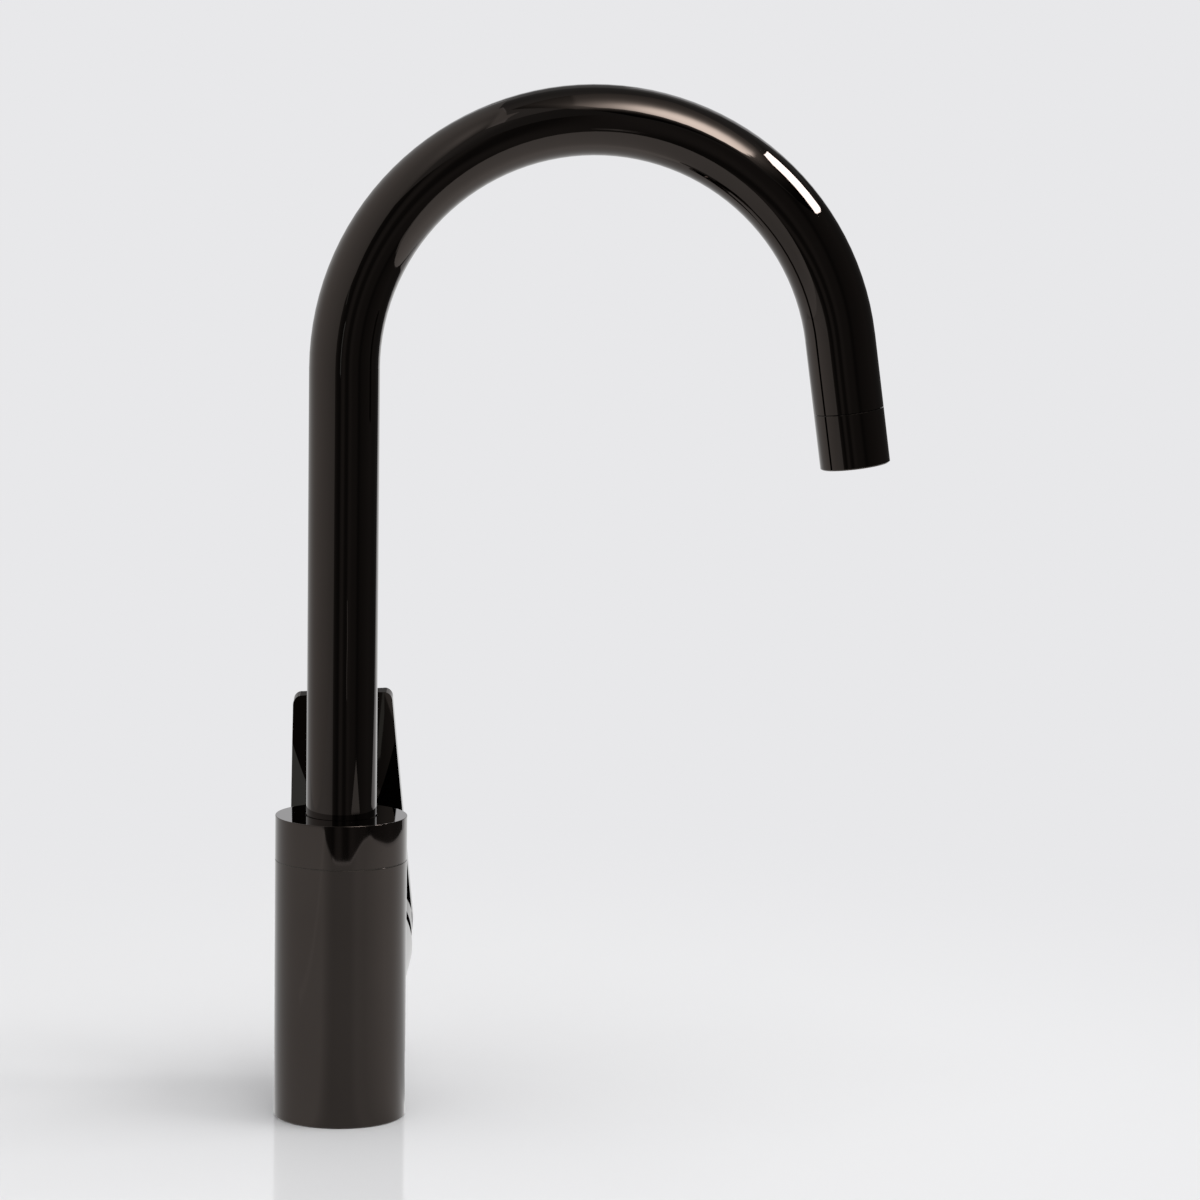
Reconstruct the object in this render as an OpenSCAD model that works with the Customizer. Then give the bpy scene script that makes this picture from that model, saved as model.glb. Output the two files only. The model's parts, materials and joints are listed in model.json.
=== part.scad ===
// Single-lever kitchen mixer tap with a swivelling arched spout and a side lever.
// Millimetres. The origin is the centre of the base on the deck, +Z is up,
// the spout points along -Y and the lever sits on the +X side of the body.

/* [Body] */
// Diameter of the upright body
body_d = 47; // [47:0.5:52]
// Height of the body from the deck to the swivel seam
body_h = 93; // [84:1:110]
// Bevel on the outer edges of the body, boss and collar
edge_bevel = 0.4; // [0.2:0.1:0.8]
// Small bevel on both lips of a seam
seam_bevel = 0.1; // [0.05:0.05:0.2]
// Distance from the edge of the base to the middle of its gasket
gasket_inset = 4; // [3:0.5:5]
// Width of the base gasket
gasket_w = 2.4; // [2:0.1:3]
// Thickness of the base gasket
gasket_t = 1.8; // [1.4:0.1:2.4]

/* [Deck fixing and water ways] */
// Tapping diameter of the stud hole in the base
stud_hole_d = 6.8; // [5:0.1:8]
// Depth of the stud hole
stud_hole_depth = 15; // [10:1:24]
// Tapping diameter of each hose inlet
inlet_d = 9; // [8:0.1:9.4]
// Depth of each hose inlet
inlet_depth = 12; // [8:1:18]
// Distance from the centre of the base to each hose inlet
inlet_offset = 10; // [9.5:0.1:11]
// Diameter of the hot and the cold water way
supply_way_d = 6; // [5:0.1:6.4]
// Diameter of the mixed water way
mixed_way_d = 8; // [6:0.5:9]

/* [Lever boss] */
// Distance from the top of the body down to the middle of the boss
boss_drop = 41; // [40:0.5:46]
// Diameter of the boss
boss_d = 46.6; // [46:0.1:46.8]
// Distance from the middle of the body to the mouth of the boss
boss_reach = 47; // [46:1:54]
// Diameter of the threaded mouth of the boss
mouth_d = 40; // [39:0.5:41]

/* [Swivel] */
// Diameter of the swivel bore in the top of the body
swivel_bore_d = 32; // [30:0.5:33]
// Depth of the swivel bore
swivel_bore_depth = 20; // [19.5:0.5:21]
// Thickness of the slip ring that carries the collar
slip_ring_t = 0.8; // [0.6:0.1:1.2]
// Open width of the seam between body and collar
swivel_seam = 0.3; // [0.2:0.05:0.5]
// Height of the collar
collar_h = 15.7; // [14:0.1:22]
// Depth of the pocket under the collar that takes the bushing
collar_pocket = 5.7; // [4:0.1:8]
// Furthest turn of the spout towards the lever side, from where it is drawn
swing_out = 70; // [40:5:90]
// Furthest turn of the spout away from the lever side, from where it is drawn
swing_back = 80; // [40:5:90]
// Diameter of the screw that keeps the spout in the body
keeper_d = 5; // [4:0.5:6]
// Diameter of the dog point on that screw
keeper_tip_d = 3; // [2:0.5:3.5]

/* [Spout] */
// Diameter of the spout tube
tube_d = 25; // [22:0.5:28]
// Wall of the spout tube
tube_wall = 1.2; // [1:0.1:1.8]
// Overall height to the top of the arch
tap_h = 369; // [330:1:420]
// Radius of the arch on the middle of the tube
arch_r = 88; // [70:1:110]
// Turn of the tube from the riser to the end of the arch
arch_sweep = 172; // [150:1:180]
// Straight length of tube after the arch
outlet_run = 26; // [20:1:40]
// Turn of the spout from straight forward, towards the lever side
spout_turn = 5; // [0:1:10]

/* [Outlet] */
// Length of the outlet ring
outlet_ring_h = 20; // [18:0.5:24]
// Open width of the seam above the outlet ring
outlet_seam = 0.3; // [0.2:0.05:0.5]
// Length of the nipple inside the tube
nipple_in_tube = 12; // [8:1:16]
// Length of the nipple inside the outlet ring
nipple_in_ring = 7; // [5:0.5:8]
// Bore of the nipple
nipple_bore_d = 17; // [14:0.5:18]
// Thickness of the aerator washer
washer_t = 1.8; // [1.2:0.1:2.4]
// Inward lip that keeps the aerator in the outlet ring
outlet_lip = 1; // [0.6:0.1:1.5]
// Pitch of the aerator mesh
mesh_pitch = 2.2; // [1.8:0.1:3]
// Width of each bar of the aerator mesh
mesh_bar = 0.6; // [0.4:0.1:0.8]

/* [Cartridge] */
// Outer diameter of the cartridge
cartridge_d = 35; // [35:0.1:36]
// Height of the cartridge base
cartridge_base_h = 7; // [6.5:0.1:8]
// Thickness of the fixed ceramic disc
fixed_disc_t = 4.5; // [4:0.1:5]
// Thickness of the moving ceramic disc
moving_disc_t = 3.5; // [3:0.1:4]
// Diameter of the moving ceramic disc
moving_disc_d = 24; // [23:0.1:24.4]
// Diameter of the part of the rotor that turns in the neck of the cartridge
rotor_d = 25; // [24.5:0.1:25.4]
// Distance from the ball of the stem to the pivot pin
ball_arm = 7; // [6.8:0.1:7.4]
// Diameter of the ball on the inner end of the stem
ball_d = 6; // [5:0.1:6.2]
// Side of the square stem
stem_side = 7; // [6:0.1:7.2]
// Diameter of the pivot pin
pin_d = 3; // [2:0.1:3.2]
// Height of the retaining nut
nut_h = 6; // [5:0.1:6.4]

/* [Lever] */
// Diameter of the lever hub
hub_d = 45.8; // [44:0.1:46.4]
// Angle between the closed stem and the level, half of the lever's tilt
stem_rise = 12.5; // [10:0.5:14]
// Lean of the closed blade away from the body
blade_lean = 12; // [9:0.5:14]
// Turn of the closed lever about the boss, top towards the back
lever_turn = 3.4; // [0:0.1:8]
// Turn of the lever from upright to full hot or full cold
mix_turn = 45; // [30:5:50]
// Length from the stem axis to the tip, square to the stem
lever_tip = 76.7; // [68:0.1:90]
// Distance from the pivot to the outer face of the blade
blade_face = 26.8; // [26.4:0.1:30]
// Thickness of the blade
blade_t = 5.5; // [4.5:0.1:6.5]
// Angle by which each side of the blade leans inwards
side_taper = 3.4; // [2:0.1:5]
// Radius of the two corners at the tip
tip_corner_r = 3; // [2:0.5:6]
// Radius of the sweep from the hub into the blade
root_r = 10; // [8:0.5:10]
// Depth of the finger hollow at the tip
hollow_depth = 2.3; // [1:0.1:2.6]
// Radius of the finger hollow across the blade
hollow_r = 120; // [100:1:150]
// Least gap between the hub rim and the mouth of the boss
rim_gap = 0.8; // [0.5:0.1:1.5]
// Diameter of the lever's grub screw
grub_d = 4; // [3:0.5:4]
// Diameter of the index plug
plug_d = 7; // [5:0.5:7]

/* [Fits] */
// Radial gap of a turning fit
running_fit = 0.06; // [0.04:0.01:0.09]
// Radial gap of pieces that are fixed together
seat_fit = 0.05; // [0.03:0.01:0.08]
// Open gap between the dome and the hollow of the lever hub
dome_gap = 0.6; // [0.5:0.1:0.8]

/* [Hidden] */
$fn = 96;

// Extra length that carries a cutter past the face it cuts
past = 1;

// Body and boss
body_r = body_d / 2;
boss_z = body_h - boss_drop;
boss_r = boss_d / 2;
mouth_r = mouth_d / 2;
gasket_r = body_r - gasket_inset;

// Swivel, from the bottom of the bore to the top of the collar
bore_r = swivel_bore_d / 2;
bore_floor = body_h - swivel_bore_depth;
journal_r = bore_r - running_fit;
journal_lift = 1;
collar_z = body_h + swivel_seam;
tube_foot = collar_z + collar_pocket;
slip_ring_edge = 0.6;
slip_flange_edge = 0.15;
bushing_bore_r = 7;
bushing_plug_h = 12;
foot_bevel = 0.5;

// Rings in the journal, by height above the bottom of the bore
bearing_ring_t = 1;
bearing_ring_h = 1.6;
bearing_ring_rise = [2, 16.4];
o_ring_d = 1.8;
o_ring_groove_h = 2.2;
o_ring_rise = [4.8, 8.2];

// Keeper screw and the arc groove that its tip runs in
keeper_rise = 13.5;
keeper_z = bore_floor + keeper_rise;
keeper_bite = 1.3;
keeper_groove_depth = 1.8;
keeper_groove_gap = 0.2;
keeper_recess = 0.9;
keeper_socket_af = 2.5;
keeper_socket_depth = 2.5;
keeper_spare_turn = 1;
keeper_tip_angle = asin(keeper_tip_d / 2 / (journal_r - keeper_groove_depth)) + keeper_spare_turn;

// Spout
tube_r = tube_d / 2;
tube_bore_r = tube_r - tube_wall;
arch_z = tap_h - arch_r - tube_r;
arch_end_x = arch_r * (1 - cos(arch_sweep));
arch_end_z = arch_z + arch_r * sin(arch_sweep);
// The bend is a hair thinner than the straight ends, which run a little way into it
bend_draw = 0.02;
bend_lap = 0.2;

// Outlet, by distance along the water from the end of the arch
ring_start = outlet_run + outlet_seam;
ring_end = outlet_run + outlet_ring_h;
nipple_end = outlet_run + nipple_in_ring;
aerator_start = nipple_end + washer_t;
lip_start = ring_end - outlet_lip;
ring_bore_r = tube_bore_r;
aerator_r = ring_bore_r - seat_fit;
aerator_wall = 1.5;
aerator_plate_t = 1.5;
jet_hole_d = 1.6;
jet_circle_r = (aerator_r - aerator_wall) * 2 / 3;
jet_count = 12;
screen_t = 1.6;
screen_rim = 0.9;
mesh_reach = ceil(aerator_r / mesh_pitch);

// Cartridge, by height above its seat in the body
cartridge_r = cartridge_d / 2;
pocket_r = cartridge_r + seat_fit;
fixed_disc_z = cartridge_base_h;
moving_disc_z = fixed_disc_z + fixed_disc_t;
carrier_z = moving_disc_z + moving_disc_t;
carrier_plate_t = 2.5;
carrier_block_y = 12;
carrier_block_x = 13;
carrier_gap = 0.5;
flange_z = carrier_z + carrier_plate_t + carrier_gap;
flange_t = 2;
lip_z = flange_z + flange_t + running_fit;
ball_lift = 1;
ball_z = carrier_z + ball_d / 2 + ball_lift;
pivot_z = ball_z + ball_arm;
block_over_ball = 2.4;
block_top = ball_z + block_over_ball;
neck_h = 3;
neck_wall = 2.4;
pivot_over_housing = 2;
housing_top = pivot_z - pivot_over_housing;
rotor_over_pivot = 5;
rotor_top = pivot_z + rotor_over_pivot;
housing_bore_r = 14;
rotor_r = rotor_d / 2;
neck_bore_r = rotor_r + running_fit;
neck_r = neck_bore_r + neck_wall;
fixed_disc_r = housing_bore_r - seat_fit;
nut_z = housing_top;
nut_slot_w = 3;
nut_slot_depth = 2;
nut_slot_count = 6;
nut_slot_reach = 2.4;
nut_gap = 0.2;
dome_skirt_h = 3.8;
mouth_depth = nut_h + nut_gap + dome_skirt_h;
seat_x = boss_reach - mouth_depth - housing_top;
pivot_x = seat_x + pivot_z;
locating_pin_d = 3;
locating_pin_h = 1.5;
locating_pins = [[12.5, 0], [-6.5, 11.5]];

// Ports in the cartridge seat, x is downwards and y is towards the back
supply_port = [4, 7.5];
mixed_port = [-8.5, 0];
ports = [supply_port, [supply_port[0], -supply_port[1]], mixed_port];
port_d = supply_way_d;
port_seal_w = 1.9;
port_seal_t = 1.8;
disc_slot = [2.4, 6];

// Mixing chamber in the moving disc
chamber_depth = 2;
chamber_w = 7;
chamber_from = -9;
chamber_cross = [4.4, 7];
chamber_cross_w = 16;

// Rotor, pivot and stem
slot_gap = 0.15;
block_gap = 0.1;
stem_slot_len = 12;
block_slot_len = 18;
block_head_room = 1;
slot_step = block_top + block_head_room;
pin_r = pin_d / 2;
pin_end_gap = 0.5;
stem_neck_r = 2;
stem_foot = -3.5;
ball_shift = ball_arm * sin(stem_rise);

// Lug on the rotor's flange and the arc in the housing whose ends stop it
stop_lug_w = 5;
stop_lug_reach = 1.5;
stop_gap = 0.2;
stop_angle = mix_turn + asin((stop_lug_w / 2 + stop_gap) / housing_bore_r);

// Dome and lever hub, whose straight sides lie a hair inside the rounds that they join
side_draw = 0.02;
hub_r = hub_d / 2;
dome_r = 19.8;
dome_wall = 1;
dome_hole_r = 8.8;
dome_skirt_r = mouth_r - seat_fit;
hub_hollow_r = dome_r + dome_gap;
rim_x = (boss_reach + rim_gap - pivot_x + hub_r * sin(stem_rise)) / cos(stem_rise);
blade_angle = stem_rise + blade_lean;
blade_back = blade_face - blade_t;
blade_skin = 1.6;
socket_end = (blade_face - stem_side / 2 * sin(blade_angle)) / cos(blade_angle) - blade_skin;
stem_end_gap = 0.2;
stem_end = socket_end - stem_end_gap;
grub_edge = 0.3;
grub_x = hub_hollow_r + grub_d / 2 + grub_edge;
grub_h = 6;
plug_t = 2.5;

// Sweep from the hub into the blade, on a bell a hair wider than the hub's outline
bell_draw = 0.03;
bell_r = hub_r + bell_draw;
root_skim = 0.2;
root_x = (blade_back - root_r + (hub_r + root_r) * sin(blade_angle)) / cos(blade_angle) + root_skim;
root_end = root_x * sin(blade_angle) + (hub_r + root_r) * cos(blade_angle);
root_reach = hub_r + root_r * (1 - sin(blade_angle));
tip_along = (lever_tip + blade_back * sin(blade_angle)) / cos(blade_angle);
hollow_gap = 1;
hollow_start = root_end + hollow_gap;
hollow_tilt = atan(hollow_depth / (tip_along - hollow_start));
lever_block = 3 * lever_tip;

// Helpers

// Round post on +Z with a bevel on each end
module bevelled_post(r, h, low, high) {
    rotate_extrude()
        polygon([[0, 0], [r - low, 0], [r, low], [r, h - high], [r - high, h], [0, h]]);
}

module ring(outer, inner, h) {
    difference() {
        cylinder(r = outer, h = h);
        translate([0, 0, -past]) cylinder(r = inner, h = h + 2 * past);
    }
}

// Hexagon key socket that opens upwards at z = 0
module key_socket(across_flats, depth) {
    translate([0, 0, -depth])
        cylinder(d = across_flats / cos(30), h = depth + past, $fn = 6);
}

// Seat of the cartridge: z runs out of the boss and x runs down
module at_seat() {
    translate([seat_x, 0, boss_z]) rotate([0, 90, 0]) children();
}

// The same place, turned with the lever
module at_turned_seat() {
    at_seat() rotate([0, 0, -lever_turn]) children();
}

// Pivot of the lever: x runs along the closed stem
module at_lever() {
    translate([pivot_x, 0, boss_z])
        rotate([-lever_turn, 0, 0])
            rotate([0, -stem_rise, 0])
                children();
}

// From the lever's pivot, x runs square out of the blade and z along it
module along_blade() {
    rotate([0, blade_angle, 0]) children();
}

// The spout's plane: x runs from the riser towards the outlet
module at_spout() {
    rotate([0, 0, spout_turn - 90]) children();
}

// End of the arch: z runs with the water
module at_outlet() {
    at_spout() translate([arch_end_x, 0, arch_end_z]) rotate([0, arch_sweep, 0]) children();
}

// Solid of the bent tube, foot to end, at radius r in the straight stretches
module bent_rod(r, foot, run) {
    at_spout() {
        translate([0, 0, foot]) cylinder(r = r, h = arch_z - foot + bend_lap);
        translate([arch_r, 0, arch_z])
            rotate([90, 0, 0])
                rotate([0, 0, 180 - arch_sweep])
                    rotate_extrude(angle = arch_sweep)
                        translate([arch_r, 0]) circle(r = r - bend_draw);
    }
    at_outlet() translate([0, 0, -bend_lap]) cylinder(r = r, h = run + bend_lap);
}

// Body

module mixer_body() {
    color([0.17, 0.16, 0.155])
    difference() {
        union() {
            bevelled_post(body_r, body_h, edge_bevel, seam_bevel);
            translate([0, 0, boss_z]) rotate([0, 90, 0])
                bevelled_post(boss_r, boss_reach, edge_bevel, edge_bevel);
        }
        swivel_cuts();
        cartridge_cuts();
        deck_cuts();
        water_ways();
    }
}

module swivel_cuts() {
    translate([0, 0, bore_floor]) cylinder(r = bore_r, h = swivel_bore_depth + past);
    translate([0, 0, collar_z - slip_ring_t])
        cylinder(r = body_r - slip_ring_edge, h = slip_ring_t + past);
    translate([0, 0, keeper_z]) rotate([0, 90, 0])
        cylinder(d = keeper_d, h = body_r + past);
}

module cartridge_cuts() {
    at_seat() {
        cylinder(r = pocket_r, h = housing_top + mouth_depth + past);
        translate([0, 0, housing_top]) cylinder(r = mouth_r, h = mouth_depth + past);
        for (p = locating_pins)
            translate([p[0], p[1], -locating_pin_h - seat_fit])
                cylinder(d = locating_pin_d + 2 * seat_fit, h = locating_pin_h + past);
    }
}

module deck_cuts() {
    translate([0, 0, -past]) {
        cylinder(d = stud_hole_d, h = stud_hole_depth + past);
        ring(gasket_r + gasket_w / 2 + seat_fit, gasket_r - gasket_w / 2 - seat_fit, gasket_t + past);
        for (side = [-1, 1])
            translate([0, side * inlet_offset, 0]) cylinder(d = inlet_d, h = inlet_depth + past);
    }
}

module water_ways() {
    supply_z = boss_z - supply_port[0];
    mixed_z = boss_z - mixed_port[0];
    for (side = [-1, 1]) {
        translate([0, side * inlet_offset, past])
            cylinder(d = supply_way_d, h = supply_z - past);
        translate([0, side * supply_port[1], supply_z]) rotate([0, 90, 0])
            cylinder(d = supply_way_d, h = seat_x + past);
        translate([0, side * inlet_offset, supply_z]) sphere(d = supply_way_d);
    }
    translate([0, 0, mixed_z]) {
        rotate([0, 90, 0]) cylinder(d = mixed_way_d, h = seat_x + past);
        cylinder(d = mixed_way_d, h = bore_floor - mixed_z + past);
        sphere(d = mixed_way_d);
    }
}

module base_gasket() {
    color([0.08, 0.08, 0.08])
    ring(gasket_r + gasket_w / 2, gasket_r - gasket_w / 2, gasket_t);
}

module slip_ring() {
    color([0.1, 0.1, 0.1])
    difference() {
        union() {
            translate([0, 0, collar_z - slip_ring_t])
                cylinder(r = body_r - slip_ring_edge - seat_fit, h = slip_ring_t);
            translate([0, 0, body_h]) cylinder(r = body_r - slip_flange_edge, h = swivel_seam);
        }
        translate([0, 0, collar_z - slip_ring_t - past])
            cylinder(r = bore_r + seat_fit, h = slip_ring_t + 2 * past);
    }
}

module swivel_screw() {
    length = body_r - keeper_recess - bore_r;
    color([0.6, 0.6, 0.62])
    translate([bore_r, 0, keeper_z]) rotate([0, 90, 0])
    difference() {
        union() {
            cylinder(d = keeper_d - 2 * seat_fit, h = length);
            translate([0, 0, -keeper_bite]) cylinder(d = keeper_tip_d, h = keeper_bite + past);
        }
        translate([0, 0, length]) key_socket(keeper_socket_af, keeper_socket_depth);
    }
}

// Collar, bushing and spout

module collar() {
    color([0.17, 0.16, 0.155])
    translate([0, 0, collar_z])
    difference() {
        bevelled_post(body_r, collar_h, seam_bevel, edge_bevel);
        translate([0, 0, -past]) cylinder(r = bore_r + seat_fit, h = collar_pocket + past);
        cylinder(r = tube_r + seat_fit, h = collar_h + past);
        translate([0, 0, collar_h - foot_bevel])
            cylinder(r1 = tube_r + seat_fit, r2 = tube_r + seat_fit + 2 * foot_bevel, h = 2 * foot_bevel);
    }
}

module spout_bushing() {
    journal_z = bore_floor + journal_lift;
    color([0.75, 0.6, 0.3])
    difference() {
        union() {
            translate([0, 0, journal_z]) cylinder(r = journal_r, h = tube_foot - journal_z);
            translate([0, 0, tube_foot]) cylinder(r = tube_bore_r - seat_fit, h = bushing_plug_h);
        }
        translate([0, 0, bore_floor])
            cylinder(r = bushing_bore_r, h = tube_foot + bushing_plug_h - bore_floor + past);
        for (rise = bearing_ring_rise)
            journal_groove(rise, bearing_ring_h, bearing_ring_t);
        for (rise = o_ring_rise)
            journal_groove(rise, o_ring_groove_h, o_ring_d);
        keeper_groove();
    }
}

module journal_groove(rise, h, depth) {
    translate([0, 0, bore_floor + rise]) ring(bore_r + past, journal_r - depth, h);
}

// Arc groove whose two ends stop the spout against the tip of the screw
module keeper_groove() {
    groove_h = keeper_tip_d + 2 * keeper_groove_gap;
    translate([0, 0, keeper_z - groove_h / 2])
        rotate([0, 0, -swing_out - keeper_tip_angle])
            rotate_extrude(angle = swing_out + swing_back + 2 * keeper_tip_angle)
                translate([journal_r - keeper_groove_depth, 0])
                    square([keeper_groove_depth + past, groove_h]);
}

module bushing_o_rings() {
    color([0.07, 0.07, 0.07])
    for (rise = o_ring_rise)
        translate([0, 0, bore_floor + rise + o_ring_groove_h / 2])
            rotate_extrude()
                translate([journal_r - o_ring_d / 2, 0]) circle(d = o_ring_d - seat_fit);
}

module bearing_rings() {
    color([0.85, 0.85, 0.82])
    for (rise = bearing_ring_rise)
        translate([0, 0, bore_floor + rise + seat_fit])
            ring(journal_r, journal_r - bearing_ring_t + seat_fit, bearing_ring_h - 2 * seat_fit);
}

module spout_tube() {
    color([0.17, 0.16, 0.155])
    difference() {
        bent_rod(tube_r, tube_foot, outlet_run);
        bent_rod(tube_bore_r, tube_foot - past, outlet_run + past);
    }
}

// Outlet

module outlet_nipple() {
    color([0.75, 0.6, 0.3])
    at_outlet() translate([0, 0, outlet_run - nipple_in_tube])
        ring(tube_bore_r - seat_fit, nipple_bore_d / 2, nipple_in_tube + nipple_in_ring);
}

module outlet_ring() {
    color([0.17, 0.16, 0.155])
    at_outlet() translate([0, 0, ring_start])
    difference() {
        bevelled_post(tube_r, ring_end - ring_start, seam_bevel, edge_bevel);
        translate([0, 0, -past]) cylinder(r = ring_bore_r, h = lip_start - ring_start + past);
        cylinder(r = ring_bore_r - outlet_lip, h = ring_end - ring_start + past);
    }
}

module aerator_washer() {
    color([0.08, 0.08, 0.08])
    at_outlet() translate([0, 0, nipple_end]) ring(aerator_r, nipple_bore_d / 2, washer_t);
}

module aerator_body() {
    color([0.2, 0.2, 0.21])
    at_outlet() translate([0, 0, aerator_start])
    difference() {
        cylinder(r = aerator_r, h = lip_start - aerator_start);
        translate([0, 0, aerator_plate_t])
            cylinder(r = aerator_r - aerator_wall, h = lip_start - aerator_start);
        for (i = [0 : jet_count - 1])
            rotate([0, 0, i * 360 / jet_count])
                translate([jet_circle_r, 0, -past])
                    cylinder(d = jet_hole_d, h = aerator_plate_t + 2 * past);
    }
}

module aerator_screen() {
    screen_r = aerator_r - aerator_wall - seat_fit;
    color([0.35, 0.35, 0.36])
    at_outlet() translate([0, 0, lip_start - screen_t]) {
        ring(screen_r, screen_r - screen_rim, screen_t);
        intersection() {
            cylinder(r = screen_r - screen_rim / 2, h = screen_t);
            union()
                for (turn = [0, 90], i = [-mesh_reach : mesh_reach])
                    rotate([0, 0, turn])
                        translate([i * mesh_pitch - mesh_bar / 2, -aerator_r, 0])
                            cube([mesh_bar, 2 * aerator_r, screen_t]);
        }
    }
}

// Cartridge

module port_holes(d, z, h) {
    for (p = ports) translate([p[0], p[1], z]) cylinder(d = d, h = h);
}

module cartridge_base() {
    recess_d = port_d + 2 * port_seal_w + 2 * seat_fit;
    color([0.82, 0.82, 0.8])
    at_seat() {
        difference() {
            cylinder(r = cartridge_r, h = cartridge_base_h);
            port_holes(port_d, -past, cartridge_base_h + 2 * past);
            port_holes(recess_d, -past, port_seal_t + past);
            port_holes(recess_d, cartridge_base_h - port_seal_t, port_seal_t + past);
        }
        for (p = locating_pins)
            translate([p[0], p[1], -locating_pin_h])
                cylinder(d = locating_pin_d, h = locating_pin_h + past);
    }
}

module seal_set(z) {
    at_seat()
        for (p = ports)
            translate([p[0], p[1], z]) ring(port_d / 2 + port_seal_w, port_d / 2, port_seal_t);
}

module port_seals() {
    color([0.08, 0.08, 0.08]) seal_set(0);
}

module disc_seals() {
    color([0.55, 0.1, 0.08]) seal_set(cartridge_base_h - port_seal_t);
}

module fixed_disc() {
    color([0.93, 0.93, 0.92])
    at_seat() translate([0, 0, fixed_disc_z])
    difference() {
        cylinder(r = fixed_disc_r, h = fixed_disc_t);
        for (side = [-1, 1])
            translate([supply_port[0] - disc_slot[0] / 2, side * supply_port[1] - disc_slot[1] / 2, -past])
                cube([disc_slot[0], disc_slot[1], fixed_disc_t + 2 * past]);
        translate([mixed_port[0], mixed_port[1], -past]) cylinder(d = port_d, h = fixed_disc_t + 2 * past);
    }
}

// Drawn closed, so the discs sit below the middle by the throw of the ball
module at_disc_slide() {
    at_turned_seat() translate([ball_shift, 0, 0]) children();
}

module moving_disc() {
    color([0.9, 0.9, 0.88])
    at_disc_slide() translate([0, 0, moving_disc_z])
    difference() {
        cylinder(d = moving_disc_d, h = moving_disc_t);
        translate([chamber_from, -chamber_w / 2, -past])
            cube([chamber_cross[1] - chamber_from, chamber_w, chamber_depth + past]);
        translate([chamber_cross[0], -chamber_cross_w / 2, -past])
            cube([chamber_cross[1] - chamber_cross[0], chamber_cross_w, chamber_depth + past]);
    }
}

module disc_carrier() {
    color([0.25, 0.3, 0.6])
    at_disc_slide() translate([0, 0, carrier_z])
    difference() {
        union() {
            cylinder(d = moving_disc_d, h = carrier_plate_t);
            translate([-carrier_block_x / 2, -carrier_block_y / 2, 0])
                cube([carrier_block_x, carrier_block_y, block_top - carrier_z]);
        }
        translate([0, 0, ball_z - ball_d / 2 - slot_gap - carrier_z])
            cylinder(r = ball_d / 2 + running_fit, h = block_top);
    }
}

module cartridge_housing() {
    color([0.82, 0.82, 0.8])
    at_seat()
    difference() {
        union() {
            translate([0, 0, cartridge_base_h]) cylinder(r = cartridge_r, h = housing_top - cartridge_base_h);
            translate([0, 0, cartridge_base_h]) cylinder(r = neck_r, h = housing_top + neck_h - cartridge_base_h);
        }
        cylinder(r = housing_bore_r, h = lip_z);
        cylinder(r = neck_bore_r, h = housing_top + neck_h + past);
        translate([0, 0, flange_z - carrier_gap])
            rotate([0, 0, -stop_angle])
                rotate_extrude(angle = 2 * stop_angle)
                    translate([housing_bore_r - past, 0])
                        square([past + stop_lug_reach + stop_gap, lip_z - flange_z + carrier_gap]);
    }
}

module rotor() {
    color([0.3, 0.32, 0.34])
    at_turned_seat()
    difference() {
        union() {
            translate([0, 0, flange_z]) cylinder(r = housing_bore_r - running_fit, h = flange_t);
            translate([0, 0, flange_z]) cylinder(r = rotor_r, h = rotor_top - flange_z);
            translate([0, -stop_lug_w / 2, flange_z])
                cube([housing_bore_r + stop_lug_reach, stop_lug_w, flange_t]);
        }
        centred_slot(block_slot_len, carrier_block_y + 2 * block_gap, 0, slot_step);
        centred_slot(stem_slot_len, stem_side + 2 * slot_gap, 0, rotor_top + past);
        translate([0, 0, pivot_z]) rotate([90, 0, 0])
            cylinder(r = pin_r + seat_fit, h = 2 * rotor_d, center = true);
    }
}

module centred_slot(x, y, from, to) {
    translate([-x / 2, -y / 2, from]) cube([x, y, to - from]);
}

module pivot_pin() {
    color([0.65, 0.65, 0.67])
    at_turned_seat() translate([0, 0, pivot_z]) rotate([90, 0, 0])
        cylinder(r = pin_r, h = rotor_d - 2 * pin_end_gap, center = true);
}

module retaining_nut() {
    color([0.75, 0.6, 0.3])
    at_seat() translate([0, 0, nut_z])
    difference() {
        ring(mouth_r - seat_fit, neck_r + seat_fit, nut_h);
        for (i = [0 : nut_slot_count - 1])
            rotate([0, 0, i * 360 / nut_slot_count])
                translate([neck_r, -nut_slot_w / 2, nut_h - nut_slot_depth])
                    cube([nut_slot_reach, nut_slot_w, nut_slot_depth + past]);
    }
}

// Domed ring around the stem, turned about the boss with the pivot at its origin
module dome_cap() {
    skirt_z = boss_reach - dome_skirt_h - pivot_x;
    color([0.17, 0.16, 0.155])
    translate([pivot_x, 0, boss_z]) rotate([0, 90, 0]) rotate_extrude()
    intersection() {
        translate([dome_hole_r, skirt_z]) square(2 * dome_r);
        difference() {
            union() {
                circle(r = dome_r);
                translate([0, skirt_z]) square([dome_skirt_r, dome_skirt_h]);
            }
            circle(r = dome_r - dome_wall);
        }
    }
}

// Lever

module stem() {
    color([0.65, 0.65, 0.67])
    at_lever()
    difference() {
        union() {
            translate([-ball_arm, 0, 0]) rotate([0, 0, 180]) sphere(d = ball_d);
            translate([-ball_arm, 0, 0]) rotate([0, 90, 0]) cylinder(r = stem_neck_r, h = ball_arm);
            translate([stem_foot, -stem_side / 2, -stem_side / 2])
                cube([stem_end - stem_foot, stem_side, stem_side]);
        }
        rotate([90, 0, 0]) cylinder(r = pin_r + running_fit, h = 2 * stem_side, center = true);
    }
}

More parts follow.
